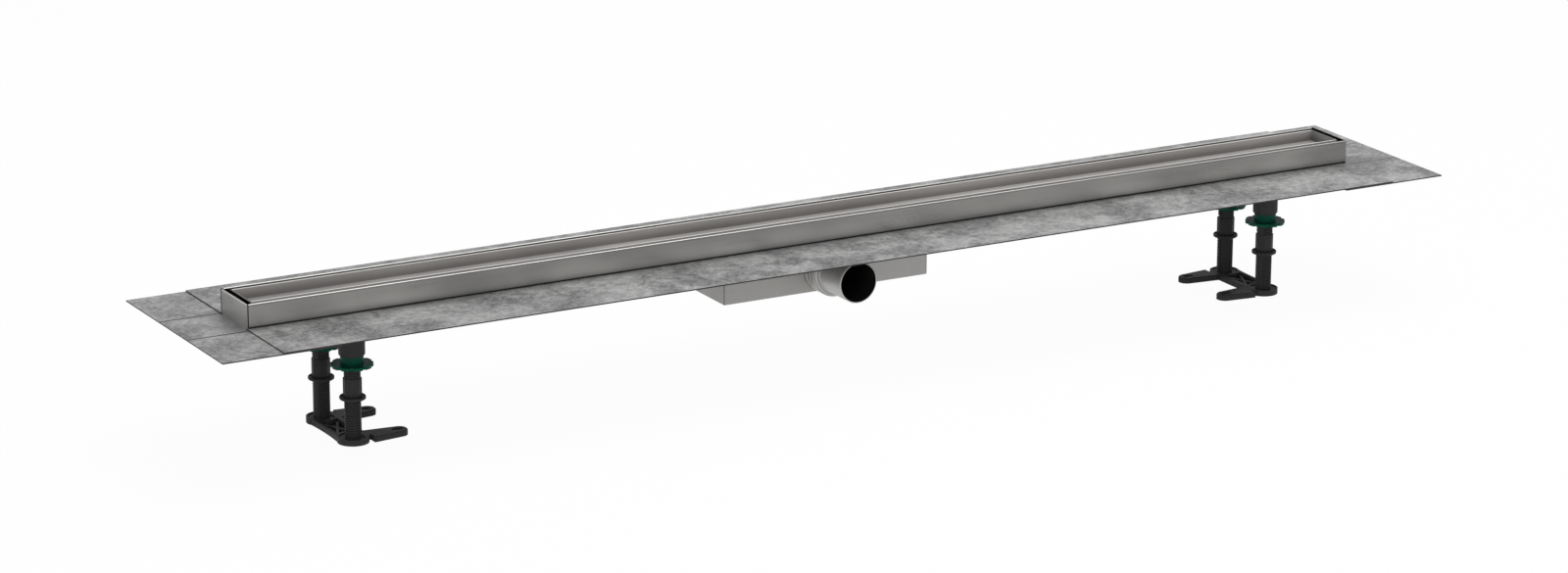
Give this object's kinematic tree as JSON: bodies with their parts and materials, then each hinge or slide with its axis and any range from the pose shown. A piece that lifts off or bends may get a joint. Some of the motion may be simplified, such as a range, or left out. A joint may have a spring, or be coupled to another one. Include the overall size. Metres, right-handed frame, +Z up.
{
  "type": "linear shower drain",
  "caption": "Long low shower drain: folded steel channel with bonding flanges, raised frame round a tile tray, trap box with side outlet, screw-adjusted legs on plastic feet",
  "frame": {"origin": "on the floor below the middle of the channel", "axes": "+X along the channel to the right as seen from the outlet side, +Y to the back away from the outlet, +Z up"},
  "size_m": [1.648, 0.2756, 0.1794],
  "materials": {
    "flange_steel": "matt, mottled",
    "box_steel": "matt",
    "frame_steel": "fine brushed",
    "tray_steel": "satin",
    "black_plastic": "matt",
    "green_plastic": "satin",
    "trap_plastic": "satin",
    "seal_rubber": "matt"
  },
  "bodies": {
    "drain": {"channel_body": "flange_steel", "end_cap_right": "flange_steel", "end_cap_left": "flange_steel", "corner_plate_right_front": "flange_steel", "corner_plate_right_back": "flange_steel", "corner_plate_left_front": "flange_steel", "corner_plate_left_back": "flange_steel", "trap_sump": "box_steel", "outlet_collar": "box_steel", "outlet_pipe": "box_steel", "frame_rail_front": "frame_steel", "frame_rail_back": "frame_steel", "frame_end_right": "frame_steel", "frame_end_left": "frame_steel", "cover_tray": "tray_steel", "frame_crossbar_1": "frame_steel", "frame_crossbar_2": "frame_steel", "frame_crossbar_3": "frame_steel", "frame_crossbar_4": "frame_steel", "foot_bracket_right": "box_steel", "foot_bracket_left": "box_steel", "frame_seal_front": "seal_rubber", "frame_seal_back": "seal_rubber", "outlet_seal": "seal_rubber", "trap_housing": "trap_plastic", "trap_lid": "trap_plastic", "hair_strainer": "frame_steel", "end_spacer_right": "black_plastic", "end_spacer_left": "black_plastic", "leg_socket_left_front": "black_plastic", "leg_socket_left_back": "black_plastic", "leg_socket_right_front": "black_plastic", "leg_socket_right_back": "black_plastic"},
    "nut_left_front": {"adjusting_nut_left_front": "green_plastic"},
    "nut_left_back": {"adjusting_nut_left_back": "green_plastic"},
    "foot_left": {"foot_plate_left": "black_plastic", "threaded_post_left_front": "black_plastic", "threaded_post_left_back": "black_plastic"},
    "nut_right_front": {"adjusting_nut_right_front": "green_plastic"},
    "nut_right_back": {"adjusting_nut_right_back": "green_plastic"},
    "foot_right": {"foot_plate_right": "black_plastic", "threaded_post_right_front": "black_plastic", "threaded_post_right_back": "black_plastic"}
  },
  "joints": [
    {"name": "turn_left_front", "type": "hinge", "parent": "drain", "child": "nut_left_front", "pos_m": [-0.625, -0.043, 0.093], "axis": [0, 0, 1], "range_deg": [-1441, 1801]},
    {"name": "turn_left_back", "type": "hinge", "parent": "drain", "child": "nut_left_back", "pos_m": [-0.625, 0.043, 0.093], "axis": [0, 0, 1], "range_deg": [-1441, 1801]},
    {"name": "lift_left", "type": "slide", "parent": "drain", "child": "foot_left", "axis": [0, 0, 1], "range_m": [-0.015, 0.012]},
    {"name": "turn_right_front", "type": "hinge", "parent": "drain", "child": "nut_right_front", "pos_m": [0.625, -0.043, 0.093], "axis": [0, 0, 1], "range_deg": [-1441, 1801]},
    {"name": "turn_right_back", "type": "hinge", "parent": "drain", "child": "nut_right_back", "pos_m": [0.625, 0.043, 0.093], "axis": [0, 0, 1], "range_deg": [-1441, 1801]},
    {"name": "lift_right", "type": "slide", "parent": "drain", "child": "foot_right", "axis": [0, 0, 1], "range_m": [-0.015, 0.012]}
  ],
  "couplings": [
    {"joint": "turn_left_front", "follows": "lift_left", "rad_per_m": -2094.4},
    {"joint": "turn_left_back", "follows": "lift_left", "rad_per_m": -2094.4},
    {"joint": "turn_right_front", "follows": "lift_right", "rad_per_m": -2094.4},
    {"joint": "turn_right_back", "follows": "lift_right", "rad_per_m": -2094.4}
  ]
}
